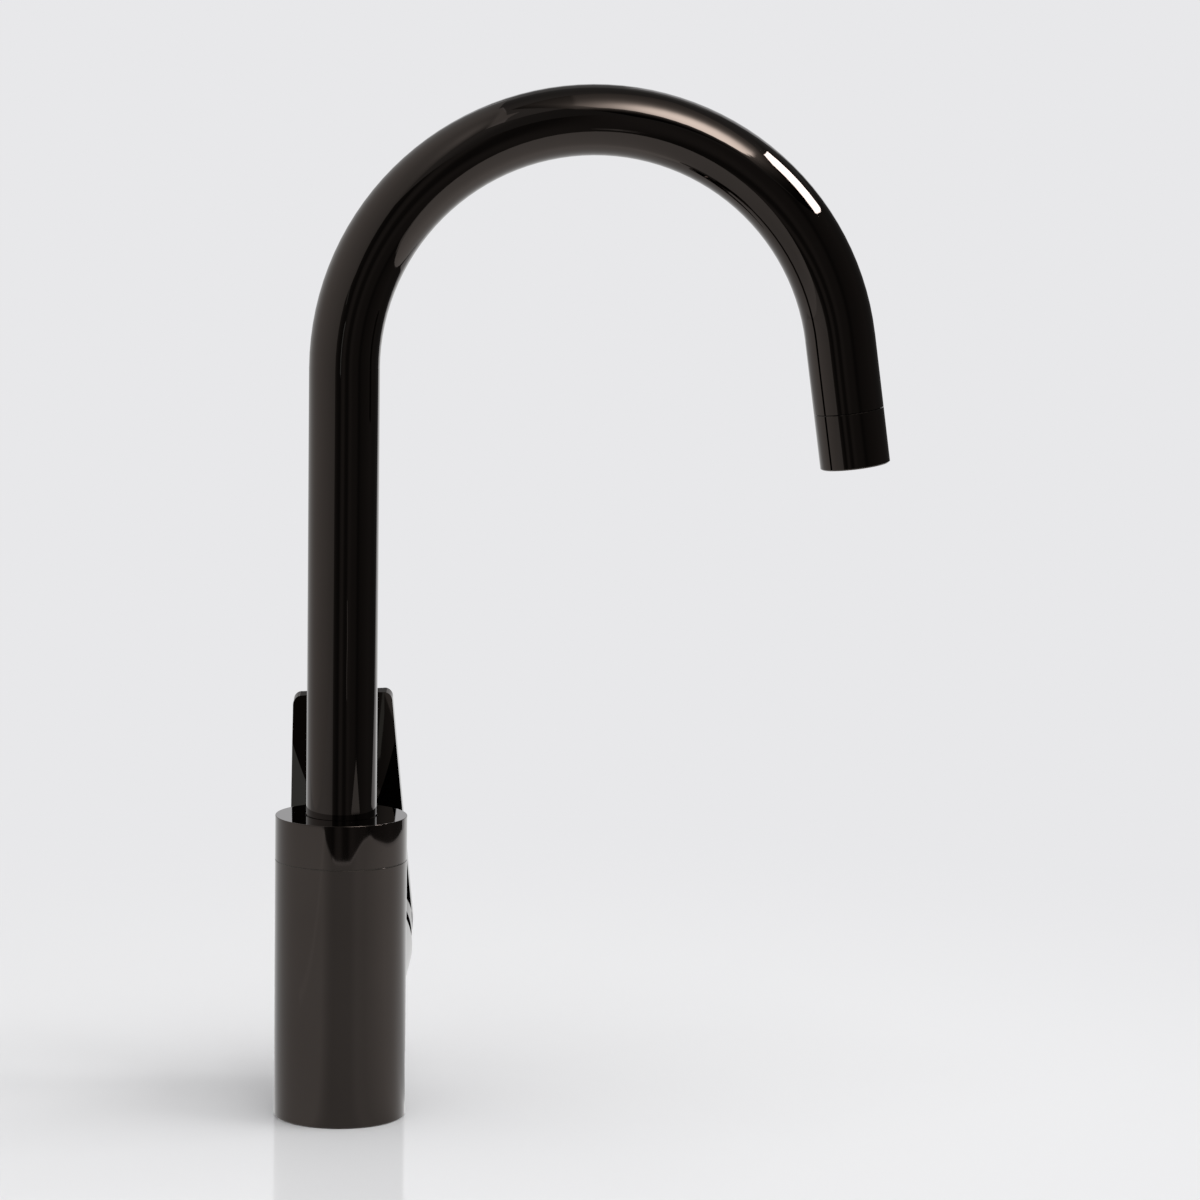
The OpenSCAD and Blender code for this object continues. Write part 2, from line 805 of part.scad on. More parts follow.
// Outline of hub and blade: x across, y up from the stem axis
module lever_outline() {
    corner_y = lever_tip - tip_corner_r;
    corner_x = (hub_r - tip_corner_r - corner_y * sin(side_taper)) / cos(side_taper);
    square_out = [cos(side_taper), sin(side_taper)];
    hub_side = (hub_r - side_draw) * square_out;
    tip_side = [corner_x, corner_y] + (tip_corner_r - side_draw) * square_out;
    tip_y = lever_tip - side_draw;
    circle(r = hub_r);
    for (side = [-1, 1]) translate([side * corner_x, corner_y]) circle(r = tip_corner_r);
    polygon([
        hub_side, tip_side, [corner_x, tip_y],
        [-corner_x, tip_y], [-tip_side[0], tip_side[1]], [-hub_side[0], hub_side[1]]
    ]);
}

// Hub that flares into the blade, turned about the stem axis
module hub_bell() {
    rotate([0, 90, 0]) rotate_extrude()
    difference() {
        translate([0, rim_x]) square([root_reach, lever_tip]);
        translate([bell_r, 0]) square([root_reach, root_x]);
        translate([bell_r + root_r, root_x]) circle(r = root_r);
    }
}

// Everything from the given distance out of the pivot to the blade's outer face
module blade_slab(from) {
    along_blade()
        translate([from, -lever_block / 2, -lever_block / 2])
            cube([blade_face - from, lever_block, lever_block]);
}

module lever_handle() {
    color([0.17, 0.16, 0.155])
    at_lever()
    difference() {
        intersection() {
            translate([rim_x, 0, 0]) rotate([90, 0, 90]) linear_extrude(lever_tip) lever_outline();
            blade_slab(-lever_tip);
            union() {
                hub_bell();
                blade_slab(blade_back);
            }
        }
        rotate([0, 0, 180]) sphere(r = hub_hollow_r);
        translate([0, -stem_side / 2 - seat_fit, -stem_side / 2 - seat_fit])
            cube([socket_end, stem_side + 2 * seat_fit, stem_side + 2 * seat_fit]);
        translate([grub_x, 0, 0]) rotate([90, 0, 0]) {
            cylinder(d = grub_d + 2 * seat_fit, h = hub_d);
            translate([0, 0, hub_r - plug_t]) cylinder(d = plug_d + 2 * seat_fit, h = hub_r);
        }
        finger_hollow();
    }
}

// Shallow round hollow that starts above the hub and deepens to the tip
module finger_hollow() {
    length = tip_along - hollow_start;
    along_blade()
        translate([blade_back + hollow_depth, 0, tip_along])
            rotate([0, hollow_tilt, 0])
                translate([-hollow_r, 0, -length])
                    cylinder(r = hollow_r, h = 2 * length, $fn = 4 * $fn);
}

module lever_screw() {
    color([0.6, 0.6, 0.62])
    at_lever() translate([grub_x, -stem_side / 2, 0]) rotate([90, 0, 0])
    difference() {
        cylinder(d = grub_d, h = grub_h);
        translate([0, 0, grub_h]) key_socket(grub_d / 2, grub_d / 2);
    }
}

module index_plug() {
    color([0.12, 0.12, 0.12])
    at_lever()
    intersection() {
        translate([grub_x, 0, 0]) rotate([90, 0, 0])
            translate([0, 0, hub_r - plug_t]) cylinder(d = plug_d, h = 2 * plug_t);
        rotate([0, 90, 0]) cylinder(r = hub_r, h = lever_tip);
    }
}

mixer_body();
base_gasket();
slip_ring();
swivel_screw();
collar();
spout_tube();
spout_bushing();
bushing_o_rings();
bearing_rings();
outlet_nipple();
outlet_ring();
aerator_washer();
aerator_body();
aerator_screen();
cartridge_base();
port_seals();
disc_seals();
fixed_disc();
moving_disc();
disc_carrier();
cartridge_housing();
rotor();
pivot_pin();
stem();
retaining_nut();
dome_cap();
lever_handle();
lever_screw();
index_plug();
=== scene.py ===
"""Looks of the kitchen mixer tap: black chrome pieces on a pale floor, in a soft studio.

The plating is a dark mirror, so most of what it shows is the studio's cards, which only reflections see.
"""

import json
import math

import bmesh
import bpy
from mathutils import Matrix, Vector

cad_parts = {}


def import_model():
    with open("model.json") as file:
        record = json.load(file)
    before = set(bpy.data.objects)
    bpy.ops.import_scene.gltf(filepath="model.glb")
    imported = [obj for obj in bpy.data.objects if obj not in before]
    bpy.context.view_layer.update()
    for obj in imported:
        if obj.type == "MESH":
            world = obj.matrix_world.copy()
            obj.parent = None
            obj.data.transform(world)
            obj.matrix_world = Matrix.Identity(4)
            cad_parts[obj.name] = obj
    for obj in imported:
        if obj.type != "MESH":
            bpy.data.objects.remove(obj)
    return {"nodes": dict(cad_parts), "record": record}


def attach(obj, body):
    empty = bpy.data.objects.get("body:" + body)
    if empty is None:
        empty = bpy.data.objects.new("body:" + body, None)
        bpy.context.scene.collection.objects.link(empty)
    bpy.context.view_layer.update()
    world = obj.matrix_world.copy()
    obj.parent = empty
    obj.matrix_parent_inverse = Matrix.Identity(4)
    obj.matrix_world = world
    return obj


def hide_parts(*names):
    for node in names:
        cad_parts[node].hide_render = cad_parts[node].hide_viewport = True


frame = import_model()
SCENE = bpy.context.scene
NODES = frame["nodes"]
MM = 0.001
MICRON = 0.000001


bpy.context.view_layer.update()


# Nodes, of materials and of the world

def add(owner, kind, **settings):
    """A new node. A setting goes to the socket of its name, with spaces for underscores, or to the node."""
    node = owner.node_tree.nodes.new(kind)
    for name, value in settings.items():
        socket = name.replace("_", " ")
        if socket in node.inputs:
            node.inputs[socket].default_value = value
        else:
            setattr(node, name, value)
    return node


def link(owner, source, target):
    owner.node_tree.links.new(source, target)


def mixed_shader(owner, share, first, second):
    """The first shader where the share is 0, and the second where it is 1."""
    mix = add(owner, "ShaderNodeMixShader")
    for source, target in zip((share, first, second), mix.inputs):
        link(owner, source, target)
    return mix.outputs["Shader"]


# Materials

SEAM_IOR = 1.25


def new_material(name, **values):
    """A material and its Principled BSDF, with constant values set on its own sockets."""
    material = bpy.data.materials.new(name)
    material.use_nodes = True
    bsdf = material.node_tree.nodes["Principled BSDF"]
    for socket, value in values.items():
        bsdf.inputs[socket].default_value = value
    return material, bsdf


def object_noise(material, scale):
    """Noise in the object's own coordinates, which are metres in the frame."""
    place = add(material, "ShaderNodeTexCoord")
    noise = add(material, "ShaderNodeTexNoise", Scale=scale, Detail=3.0)
    link(material, place.outputs["Object"], noise.inputs["Vector"])
    return noise.outputs["Fac"]


def ranged(material, source, low, high, target):
    """Leads a source that goes from 0 to 1 to a target, as values from low to high."""
    spread = add(material, "ShaderNodeMapRange", To_Min=low, To_Max=high)
    link(material, source, spread.inputs["Value"])
    link(material, spread.outputs["Result"], target)


def toned(material, source, dark, light, target):
    """Leads a source that goes from 0 to 1 to a target, as colours from dark to light."""
    mix = add(material, "ShaderNodeMix", data_type="RGBA")
    mix.inputs["A"].default_value = (*dark, 1)
    mix.inputs["B"].default_value = (*light, 1)
    link(material, source, mix.inputs["Factor"])
    link(material, mix.outputs["Result"], target)


def black_chrome():
    """Polished dark plating: a mirror with a warm dark tone and the faintest cloudiness."""
    material, bsdf = new_material("black_chrome", Metallic=1.0)
    haze = object_noise(material, 35.0)
    toned(material, haze, (0.049, 0.0415, 0.0375), (0.056, 0.0475, 0.043), bsdf.inputs["Base Color"])
    ranged(material, haze, 0.015, 0.035, bsdf.inputs["Roughness"])
    return material


def grained(name, dark, light, metallic, roughness, scale, depth):
    """A plain part with fine grain in its colour, gloss and surface, depth microns deep."""
    material, bsdf = new_material(name, Metallic=metallic)
    grain = object_noise(material, scale)
    toned(material, grain, dark, light, bsdf.inputs["Base Color"])
    ranged(material, grain, *roughness, bsdf.inputs["Roughness"])
    raised = add(material, "ShaderNodeBump", Strength=1.0, Distance=depth * MICRON)
    link(material, grain, raised.inputs["Height"])
    link(material, raised.outputs["Normal"], bsdf.inputs["Normal"])
    return material


# Dark tone, light tone, metallic, least and most roughness, grain scale per metre, grain depth in microns
GRAINED = {
    "brass": ((0.60, 0.44, 0.20), (0.74, 0.57, 0.30), 1.0, (0.18, 0.32), 900, 20),
    "steel": ((0.50, 0.50, 0.51), (0.62, 0.62, 0.63), 1.0, (0.2, 0.34), 1200, 20),
    "screen_steel": ((0.30, 0.30, 0.31), (0.45, 0.45, 0.46), 1.0, (0.25, 0.4), 1500, 20),
    "seal_rubber": ((0.018, 0.018, 0.018), (0.035, 0.035, 0.035), 0.0, (0.5, 0.7), 1500, 30),
    "seal_red": ((0.36, 0.05, 0.04), (0.48, 0.08, 0.06), 0.0, (0.4, 0.55), 1500, 30),
    "slip_plastic": ((0.045, 0.039, 0.034), (0.055, 0.047, 0.041), 0.0, (0.2, 0.3), 1500, 4),
    "bearing_plastic": ((0.74, 0.73, 0.69), (0.83, 0.82, 0.78), 0.0, (0.35, 0.5), 1500, 20),
    "aerator_plastic": ((0.05, 0.05, 0.055), (0.085, 0.085, 0.09), 0.0, (0.35, 0.5), 1500, 20),
    "cartridge_plastic": ((0.74, 0.74, 0.71), (0.8, 0.8, 0.77), 0.0, (0.3, 0.42), 1500, 20),
    "rotor_plastic": ((0.23, 0.24, 0.26), (0.3, 0.31, 0.33), 0.0, (0.3, 0.42), 1500, 20),
    "carrier_plastic": ((0.1, 0.17, 0.44), (0.13, 0.21, 0.52), 0.0, (0.3, 0.42), 1500, 20),
    "plug_plastic": ((0.02, 0.02, 0.02), (0.035, 0.035, 0.035), 0.0, (0.25, 0.4), 1500, 20),
    "ceramic": ((0.86, 0.85, 0.82), (0.91, 0.9, 0.87), 0.0, (0.12, 0.2), 1500, 10),
    "seam_shade": ((0.010, 0.009, 0.008), (0.015, 0.013, 0.012), 0.0, (0.4, 0.5), 1500, 4),
}
MATERIALS = {"black_chrome": black_chrome(), **{slot: grained(slot, *row) for slot, row in GRAINED.items()}}

# Inside the fine seams the light is lost between two close faces, so what shows there is dull: the lower IOR
# of these two materials is painted shade in the seams
for seam_slot in ("slip_plastic", "seam_shade"):
    MATERIALS[seam_slot].node_tree.nodes["Principled BSDF"].inputs["IOR"].default_value = SEAM_IOR


def dress(piece, slot):
    piece.data.materials.clear()
    piece.data.materials.append(MATERIALS[slot])


for part in frame["record"]["subparts"]:
    dress(NODES[part["node"]], part["material_slot"])
# The outlet nipple's own slot is black chrome; it gets the dark dull seam material instead, as painted shade
# in the seam at the outlet ring
dress(NODES["outlet_nipple"], "seam_shade")


# The collar's top edge, which the CAD has as a flat bevel

def meshed(name, bm):
    """A new object with the built mesh, in the scene."""
    mesh = bpy.data.meshes.new(name)
    bm.to_mesh(mesh)
    bm.free()
    obj = bpy.data.objects.new(name, mesh)
    SCENE.collection.objects.link(obj)
    return obj


def turned_collar():
    """The collar as a turned mesh whose top edge is rounded, so that it holds a fine line of light."""
    outer, bottom, top = 23.5, 93.3, 109.0
    journal_bore, tube_bore, pocket_top = 16.05, 12.55, 99.0
    top_round, seam_bevel, mouth_bevel = 0.22, 0.06, 0.5
    # Points this close to the rounding keep the side's and the top's own normals straight up to it
    close = 0.03
    arc_steps = 8
    sides = 192
    sharp = math.radians(25)

    profile = [(journal_bore, bottom), (outer - seam_bevel, bottom), (outer, bottom + seam_bevel),
               (outer, top - top_round - close)]
    for i in range(arc_steps + 1):
        turn = math.pi / 2 * i / arc_steps
        profile.append((outer - top_round * (1 - math.cos(turn)), top - top_round * (1 - math.sin(turn))))
    profile += [(outer - top_round - close, top), (tube_bore + mouth_bevel, top),
                (tube_bore, top - mouth_bevel), (tube_bore, pocket_top), (journal_bore, pocket_top)]

    bm = bmesh.new()
    rings = []
    for i in range(sides):
        turn = 2 * math.pi * i / sides
        rings.append([bm.verts.new((r * MM * math.cos(turn), r * MM * math.sin(turn), z * MM))
                      for r, z in profile])
    for i in range(sides):
        here, after = rings[i], rings[(i + 1) % sides]
        for k in range(len(profile)):
            n = (k + 1) % len(profile)
            bm.faces.new((here[k], after[k], after[n], here[n]))
    bmesh.ops.recalc_face_normals(bm, faces=bm.faces)
    for face in bm.faces:
        face.smooth = True
    bm.normal_update()
    for edge in bm.edges:
        if edge.calc_face_angle() > sharp:
            edge.smooth = False
    piece = meshed("turned_collar", bm)
    dress(piece, "black_chrome")
    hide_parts("collar")
    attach(piece, "spout")


# Tables and directions for the studio. Lengths are metres. A direction round the tap's axis is in degrees:
# 0 is -X, where the camera is, and it grows towards +Y

def along(rows, x, soft=0.0):
    """Value at x of a table of (x, value) rows, with its corners rounded over soft on each side."""
    reach = 3
    total = 0.0
    for step in range(-reach, reach + 1):
        at = x + soft * step / reach
        at = min(max(at, rows[0][0]), rows[-1][0])
        for (x0, v0), (x1, v1) in zip(rows, rows[1:]):
            if at <= x1:
                total += v0 + (v1 - v0) * (at - x0) / (x1 - x0)
                break
    return total / (2 * reach + 1)


def ramp(x, start, length):
    """0 before the start and 1 after the length, with a straight rise between."""
    return min(max((x - start) / length, 0), 1)


def around(azimuth, radius, height):
    turn = math.radians(azimuth)
    return (-radius * math.cos(turn), radius * math.sin(turn), height)


def azimuth_of(point):
    return math.degrees(math.atan2(point.y, -point.x))


def steps(low, high, count):
    return [low + (high - low) * i / count for i in range(count + 1)]


def turns(start, end, step=1.0):
    """Directions from start to end, about a step apart."""
    return steps(start, end, round(abs(end - start) / step))


# Studio cards, which only mirror reflections see

LEVEL = "level"
STEEP_LEVEL = "steep_level"
LEFT_WALL_Y = 0.62
# How far out the table's edge is, by direction: the drape hangs there
TABLE_FRONT = [(-144, 0.576), (-134, 0.566), (-118, 0.552), (-105, 0.546), (-94, 0.545), (-87, 0.547),
               (-75, 0.554), (-62, 0.564), (-55, 0.575), (-50, 0.572), (-42, 0.564), (-34, 0.549),
               (-27, 0.532), (-20, 0.516), (-12, 0.514), (-1, 0.514), (6, 0.516), (13, 0.53), (19, 0.552),
               (23, 0.572), (25, 0.6), (26, 0.6)]


def glowing(name, tint, two_levels):
    """A card's material, as bright as the mesh's own level, or its other level for a steep look at it."""
    steep_facing, flat_facing = 0.45, 0.75
    material = bpy.data.materials.new(name)
    material.use_nodes = True
    material.node_tree.nodes.clear()
    glow = add(material, "ShaderNodeEmission", Color=(*tint, 1))
    level = add(material, "ShaderNodeAttribute", attribute_name=LEVEL)
    out = add(material, "ShaderNodeOutputMaterial")
    link(material, glow.outputs["Emission"], out.inputs["Surface"])
    # Light that the plating would throw on from a card to the floor is left out
    path = add(material, "ShaderNodeLightPath")
    direct = add(material, "ShaderNodeMath", operation="LESS_THAN")
    direct.inputs[1].default_value = 0.5
    link(material, path.outputs["Diffuse Depth"], direct.inputs[0])
    shown = add(material, "ShaderNodeMath", operation="MULTIPLY")
    link(material, direct.outputs["Value"], shown.inputs[0])
    link(material, shown.outputs["Value"], glow.inputs["Strength"])
    if not two_levels:
        link(material, level.outputs["Fac"], shown.inputs[1])
        return material
    steep = add(material, "ShaderNodeAttribute", attribute_name=STEEP_LEVEL)
    slant = add(material, "ShaderNodeLayerWeight", Blend=0.5)
    share = add(material, "ShaderNodeMapRange", From_Min=steep_facing, From_Max=flat_facing)
    link(material, slant.outputs["Facing"], share.inputs["Value"])
    link(material, steep.outputs["Fac"], share.inputs["To Min"])
    link(material, level.outputs["Fac"], share.inputs["To Max"])
    link(material, share.outputs["Result"], shown.inputs[1])
    return material


def even(value):
    """A level that is the same all over a card."""
    return lambda point: value


def card(name, rows, level, tint=(1, 1, 1), steep=None):
    """A net of rows of points, with a level at each point, and a steep level where there is a rule for it."""
    verts = [point for row in rows for point in row]
    width = len(rows[0])
    faces = []
    for r in range(len(rows) - 1):
        for c in range(width - 1):
            corner = r * width + c
            faces.append((corner, corner + 1, corner + width + 1, corner + width))
    mesh = bpy.data.meshes.new(name)
    mesh.from_pydata(verts, [], faces)
    for title, rule in ((LEVEL, level), (STEEP_LEVEL, steep)):
        if rule:
            layer = mesh.attributes.new(title, "FLOAT", "POINT")
            for i, point in enumerate(verts):
                layer.data[i].value = rule(Vector(point))
    mesh.materials.append(glowing(name + "_light", tint, steep is not None))
    obj = bpy.data.objects.new(name, mesh)
    SCENE.collection.objects.link(obj)
    obj.visible_camera = False
    obj.visible_diffuse = False
    obj.visible_shadow = False
    obj.visible_transmission = False
    obj.visible_volume_scatter = False


def curtain():
    """Dark folded drape that hangs at the table's edge, in front of the tap and on its spout side."""
    folds = [(-150, 0.08), (-120, 0.07), (-95, 0.11), (-60, 0.07), (-52, 0.04), (-45, 0.09), (-30, 0.10),
             (-25, 0.13), (-20, 0.13), (-15, 0.05), (-7, 0.06), (-2, 0.15), (5, 0.13), (9, 0.04), (20, 0.07),
             (26, 0.14)]
    top = [(-150, 0.54), (-90, 0.54), (-30, 0.50), (0, 0.52), (26, 0.52)]
    # The directions where it ends, by height
    left_end = [(0, 26), (0.35, 26), (0.37, 20.5), (1, 20.5)]
    right_end = [(0, -136), (0.008, -136), (0.014, -118), (0.03, -125), (0.06, -135), (0.1, -139),
                 (0.15, -142), (0.25, -149), (0.4, -146), (1, -142)]
    usual_top = 0.53
    rows = []
    for share in [0.002, 0.008, 0.014, 0.02, 0.026, *steps(0.035, 1, 36)]:
        height = share * usual_top
        across = turns(along(left_end, height), along(right_end, height))
        rows.append([around(t, along(TABLE_FRONT, t, soft=1.5), share * along(top, t, soft=5))
                     for t in across])
    # Longer rows leave points out, so that each has as many as the shortest
    width = min(len(row) for row in rows)
    rows = [[row[round(i * (len(row) - 1) / (width - 1))] for i in range(width)] for row in rows]
    card("stage_curtain", rows, lambda p: along(folds, azimuth_of(p), soft=2), (1.0, 0.95, 0.93))


def low_gap():
    """Pale place low down where two folds part, with a pointed top."""
    start, end, radius = -36, -66, 0.55
    middle, half_width = -51, 15
    foot, crest_foot, rise = 0.0122, 0.0125, 0.025

    def crest(azimuth):
        return crest_foot + rise * (1 - abs(azimuth - middle) / half_width)
    across = turns(start, end)
    rows = [[around(t, radius, foot) for t in across], [around(t, radius, crest(t)) for t in across]]
    card("stage_low_gap", rows, even(0.52))


def thin_gap():
    """Thin wavy gap in front of the body."""
    middle, half_width, radius = -18.6, 0.8, 0.512
    sway, waves = 0.7, 170
    rows = []
    for z in steps(0.072, 0.118, 20):
        at = middle + sway * math.sin(z * waves)
        rows.append([around(at + side * half_width, radius, z) for side in (-1, 1)])
    card("stage_thin_gap", rows, even(0.5))


def lever_gaps():
    """Two gaps higher up, which the lever's inner face mirrors: an upright one and a slanted one."""
    upright = [[around(t, 0.5, z) for t in turns(8, 10.2)] for z in steps(0.222, 0.272, 4)]
    card("stage_high_gap", upright, even(0.55), (0.88, 1.0, 1.02))
    middle, middle_height, slant, half_width, radius = 20.3, 0.324, 104, 0.7, 0.53
    slanted = [[around(middle + (z - middle_height) * slant + side * half_width, radius, z)
                for side in (-1, 1)]
               for z in steps(0.312, 0.352, 4)]
    card("stage_slanted_gap", slanted, even(0.34), (0.92, 1.0, 0.98))


def room():
    """Dim room beyond the drape, in front and on the spout side."""
    dim = [(-150, 0.16), (-70, 0.13), (-10, 0.12), (5, 0.15), (13, 0.24), (22, 0.28)]
    rows = [[around(t, 1.9, z) for t in turns(22, -150, step=3)] for z in (0.45, 2.25)]
    card("stage_room", rows, lambda p: along(dim, azimuth_of(p)))


def ceiling():
    """Grey ceiling, darker behind the tap, with a stepped edge towards the white flat."""
    grey = [(-2.0, 0.33), (-0.9, 0.35), (0.1, 0.29), (0.6, 0.2), (1.4, 0.18), (1.8, 0.36), (2.6, 0.42)]
    left_edge = [(-2.0, 0.38), (-1.3, 0.41), (-0.87, 0.335), (-0.8, 0.46), (-0.2, 0.51), (0.5, 0.58),
                 (0.8, 1.3), (2.6, 1.3)]
    height, right_edge = 2.2, -2.6
    across = steps(-2.0, 2.6, 46)
    rows = [[(x, right_edge, height) for x in across], [(x, along(left_edge, x), height) for x in across]]
    card("stage_ceiling", rows, lambda p: along(grey, p.x, soft=0.1))


def back_flag():
    """Grey strip under the ceiling at the back."""
    rows = [[(2.0, y, z) for y in (-0.25, 0.45)] for z in (1.15, 2.25)]
    card("stage_back_flag", rows, even(0.28))


def left_wall():
    """Large white flat on the far side from the spout, with a pool of light and an evenly lit upper part."""
    glow = [(-1.75, 0.25), (-1.5, 0.43), (-1.1, 0.51), (-0.7, 0.57), (-0.3, 0.69), (0.0, 0.84), (0.3, 0.9),
            (0.7, 0.8), (1.2, 0.66), (2.1, 0.47)]
    rise = [(0, 0.84), (0.35, 1.0), (0.9, 0.98), (2.4, 0.72)]
    top = [(-1.8, 3.3), (-1.43, 3.4), (-0.22, 2.49), (0.5, 2.3), (2.1, 2.35)]
    pool, pool_level, pool_spread = Vector((-0.95, LEFT_WALL_Y, 1.75)), 0.42, 0.22
    upper_start, upper_blend, upper_end_x, upper_level = 2.25, 0.15, 0.4, 0.72

    def lit(p):
        upper = ramp(p.z, upper_start, upper_blend) if p.x < upper_end_x else 0
        low = along(glow, p.x, soft=0.08) * along(rise, p.z, soft=0.1)
        pooled = pool_level * math.exp(-(p - pool).length_squared / pool_spread)
        return low + upper * (upper_level - low) + pooled
    rows = [[(x, LEFT_WALL_Y, share * along(top, x)) for x in steps(-1.8, 2.1, 78)]
            for share in steps(0, 1, 34)]
    card("stage_left_wall", rows, lit, (1.0, 0.99, 0.98))


def table_mirror():
    """The table top as the plating mirrors it: dimmer in front, brighter on the spout side and low down."""
    edge = [(-180, 3.5), (-150, 3.5), (-147, 0.6), *TABLE_FRONT, (30, 0.605), (115, 0.605), (135, 0.9),
            (146, 3.5), (180, 3.5)]
    lit = [(-180, 0.8), (-150, 1.15), (-131, 1.0), (-117, 1.0), (-85, 0.95), (-60, 0.76), (-45, 0.66),
           (-31, 0.66), (-20, 0.55), (8, 0.53), (14, 0.57), (20, 0.66), (28, 0.82), (100, 0.85), (130, 0.76),
           (180, 0.8)]
    above = [(-180, 0.8), (-160, 0.95), (-96, 1.1), (-64, 0.85), (-32, 0.75), (0, 0.62), (16, 0.6),
             (32, 0.56), (80, 0.57), (112, 0.68), (144, 0.8), (180, 0.8)]
    # Close behind the body the table is in the tap's own shade, by distance from the axis
    shade = [(0, 0.35), (0.06, 0.5), (0.15, 0.72), (0.3, 0.92), (0.5, 1.0)]
    shade_start, shade_blend = 118, 25
    # A faint paler line runs across the table on the side of the white flat
    line_level, line_width, line_slope, line_end_x = 0.08, 0.014, 0.1, -0.08
    line_x, line_y = -0.3, 0.235

    def low(p):
        turn = azimuth_of(p)
        behind = ramp(-turn, shade_start, shade_blend)
        from_line = p.y - line_y + line_slope * (p.x - line_x)
        line = line_level * math.exp(-(from_line / line_width) ** 2) if p.x < line_end_x else 0
        return along(lit, turn, soft=1.5) * (1 - behind * (1 - along(shade, p.length))) + line
    rows = [[around(t, along(edge, t, soft=1) * share, -0.0005) for t in turns(180, -180)]
            for share in (0.03, 0.06, 0.1, 0.15, 0.2, 0.25, 0.3, *steps(0.34, 1, 33))]
    card("stage_table_mirror", rows, low, steep=lambda p: along(above, azimuth_of(p), soft=4))


def far_floor():
    """Dimmer floor beyond the table's end, towards the white flat."""
    dim = [(0, 0.3), (26, 0.36), (33, 0.48), (54, 0.56), (110, 0.61), (180, 0.61)]
    rows = [[(x, y, -0.001) for x in steps(-1.75, 1.2, 59)] for y in steps(0.1, 0.63, 10)]
    card("stage_far_floor", rows, lambda p: along(dim, azimuth_of(p), soft=2))


def strip_box():
    """Oblong softbox on the spout side, a little wider at its top."""
    y = -1.15
    rows = [[(-0.27, y, 0.86), (0.37, y, 0.86)], [(-0.28, y, 1.38), (0.50, y, 1.43)]]
    card("stage_strip", rows, even(25.0), (1.0, 0.98, 0.99))


def round_box():
    """Umbrella softbox above the camera's right: its hot lower half is pointed and its glow fades upwards."""
    centre = Vector((-0.62, -0.56, 1.32))
    aimed_at = Vector((0, -0.11, 0.34))
    ahead = (aimed_at - centre).normalized()
    side = Vector((0, 0, 1)).cross(ahead).normalized()
    up = ahead.cross(side)
    # Half its width by height, and its level by distance from its hot spot
    flare = [(-0.7, -0.2), (-0.53, 0.0), (-0.49, 0.07), (-0.42, 0.15), (-0.3, 0.3), (-0.17, 0.42), (1.1, 1.6)]
    fall = [(0, 13.2), (0.1, 12.7), (0.2, 11.0), (0.28, 8.5), (0.36, 5.1), (0.45, 2.7), (0.5, 2.0),
            (0.6, 1.2), (0.7, 0.85), (0.85, 0.6), (1.3, 0.36)]
    hot_spot, below_it = -0.2, 0.45
    right_side = 0.45
    halo_level, halo_width = 1.1, 0.12
    # The corner high up on its right, seen from the tap, is dimmer
    corner_slope, corner_start, corner_share = 2.4, 1.21, 0.6

    def lit(p):
        u, v = (p - centre).dot(side), (p - centre).dot(up)
        inside = min(along(flare, v) - abs(u), right_side - u)
        drop = (v - hot_spot) * (1 if v > hot_spot else below_it)
        full = along(fall, math.hypot(u, drop), soft=0.02)
        if v + corner_slope * u > corner_start:
            full *= corner_share
        return full if inside > 0 else min(full, halo_level) * math.exp(inside / halo_width)
    rows = [[centre + u * side + v * up for u in steps(-0.8, 0.56, 68)] for v in steps(-0.7, 1.1, 90)]
    card("stage_round_box", rows, lit, (1.0, 0.955, 0.915))


# Floor, backdrop, lamps and camera

BACKGROUND = (0.807, 0.807, 0.823, 1)
FLOOR_WHITE = (0.83, 0.83, 0.84, 1)
FILL = 0.66


def far_share(material, start, end, centre=(0, 0, 0)):
    """A share that goes smoothly from 0 to 1 between two distances from a centre on the floor."""
    place = add(material, "ShaderNodeTexCoord")
    reach = add(material, "ShaderNodeVectorMath", operation="DISTANCE")
    link(material, place.outputs["Object"], reach.inputs[0])
    reach.inputs[1].default_value = centre
    fade = add(material, "ShaderNodeMapRange", interpolation_type="SMOOTHSTEP", From_Min=start, From_Max=end)
    link(material, reach.outputs["Value"], fade.inputs["Value"])
    return fade.outputs["Result"]


def floor():
    """White table top: it shows the tap's shadow and, close to the base, a faint mirror image."""
    bm = bmesh.new()
    bmesh.ops.create_circle(bm, cap_ends=True, radius=6.0, segments=128)
    obj = meshed("stage_floor", bm)
    material, glossy = new_material("floor_white", Roughness=0.05, IOR=1.2)
    glossy.inputs["Base Color"].default_value = FLOOR_WHITE
    dull = add(material, "ShaderNodeBsdfDiffuse", Color=FLOOR_WHITE)
    past_image = far_share(material, 0.09, 0.17, (-0.09, 0, 0))
    surface = mixed_shader(material, past_image, glossy.outputs["BSDF"], dull.outputs["BSDF"])
    # Far from the tap the floor turns into the background's own tone
    tone = add(material, "ShaderNodeEmission", Color=BACKGROUND, Strength=1.0)
    blend = mixed_shader(material, far_share(material, 0.17, 0.6), surface, tone.outputs["Emission"])
    link(material, blend, material.node_tree.nodes["Material Output"].inputs["Surface"])
    obj.data.materials.append(material)
    obj.visible_glossy = False


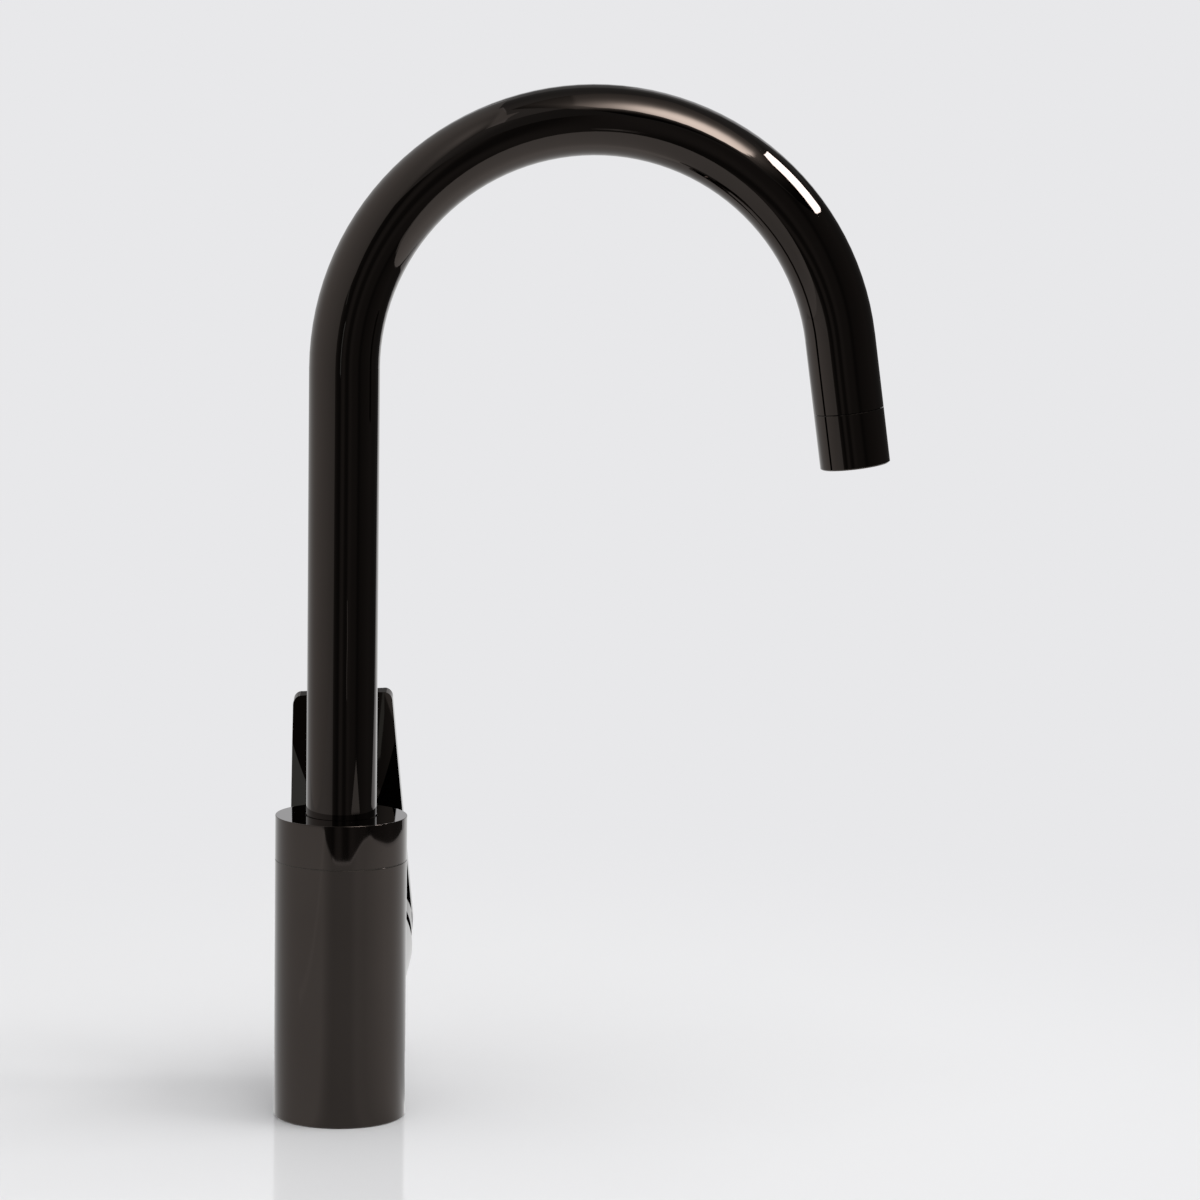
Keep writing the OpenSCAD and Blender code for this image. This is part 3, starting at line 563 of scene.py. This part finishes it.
def world():
    """Plain pale backdrop for the camera and for mirror images, and even fill light for all else."""
    made = bpy.data.worlds.new("studio")
    SCENE.world = made
    made.use_nodes = True
    made.node_tree.nodes.clear()
    path = add(made, "ShaderNodeLightPath")
    seen = add(made, "ShaderNodeMath", operation="MAXIMUM")
    link(made, path.outputs["Is Camera Ray"], seen.inputs[0])
    link(made, path.outputs["Is Glossy Ray"], seen.inputs[1])
    fill = add(made, "ShaderNodeBackground", Color=(1, 1, 1, 1), Strength=FILL)
    backdrop = add(made, "ShaderNodeBackground", Color=BACKGROUND, Strength=1.0)
    out = add(made, "ShaderNodeOutputWorld")
    mix = mixed_shader(made, seen.outputs["Value"], fill.outputs["Background"],
                       backdrop.outputs["Background"])
    link(made, mix, out.inputs["Surface"])


def area_light(name, place, target, size, power):
    """A soft lamp that lights the floor and the tap but isn't mirrored: the cards are."""
    data = bpy.data.lights.new(name, "AREA")
    data.shape = "RECTANGLE"
    data.size, data.size_y = size
    data.energy = power
    lamp = bpy.data.objects.new(name, data)
    SCENE.collection.objects.link(lamp)
    lamp.location = place
    lamp.rotation_euler = (Vector(target) - Vector(place)).to_track_quat("-Z", "Y").to_euler()
    lamp.visible_glossy = False


def camera():
    """The photograph's view, found by fitting a camera to the outlines of the tube and the body."""
    data = bpy.data.cameras.new("view")
    data.sensor_fit = "HORIZONTAL"
    data.sensor_width = 36.0
    data.lens = 145.73
    data.clip_start = 0.05
    data.clip_end = 50.0
    obj = bpy.data.objects.new("view", data)
    SCENE.collection.objects.link(obj)
    obj.location = (-1.7018, -0.1118, 0.4235)
    heading, pitch, roll = math.radians(0.7), math.radians(7.89), math.radians(0.829)
    level = math.cos(pitch)
    ahead = Vector((math.cos(heading) * level, math.sin(heading) * level, -math.sin(pitch)))
    turn = ahead.to_track_quat("-Z", "Y").to_matrix() @ Matrix.Rotation(roll, 3, "Z")
    obj.rotation_euler = turn.to_euler()
    SCENE.camera = obj


turned_collar()
for build in (curtain, low_gap, thin_gap, lever_gaps, room, ceiling, back_flag, left_wall, table_mirror,
              far_floor, strip_box, round_box, floor, world):
    build()
area_light("key_light", (0.05, -3.65, 4.0), (0, 0, 0.05), (3.3, 1.65), 73.0)
area_light("top_light", (-0.4, -0.35, 2.15), (0, 0, 0.1), (1.2, 1.2), 11.0)
camera()
SCENE.view_settings.view_transform = "Standard"
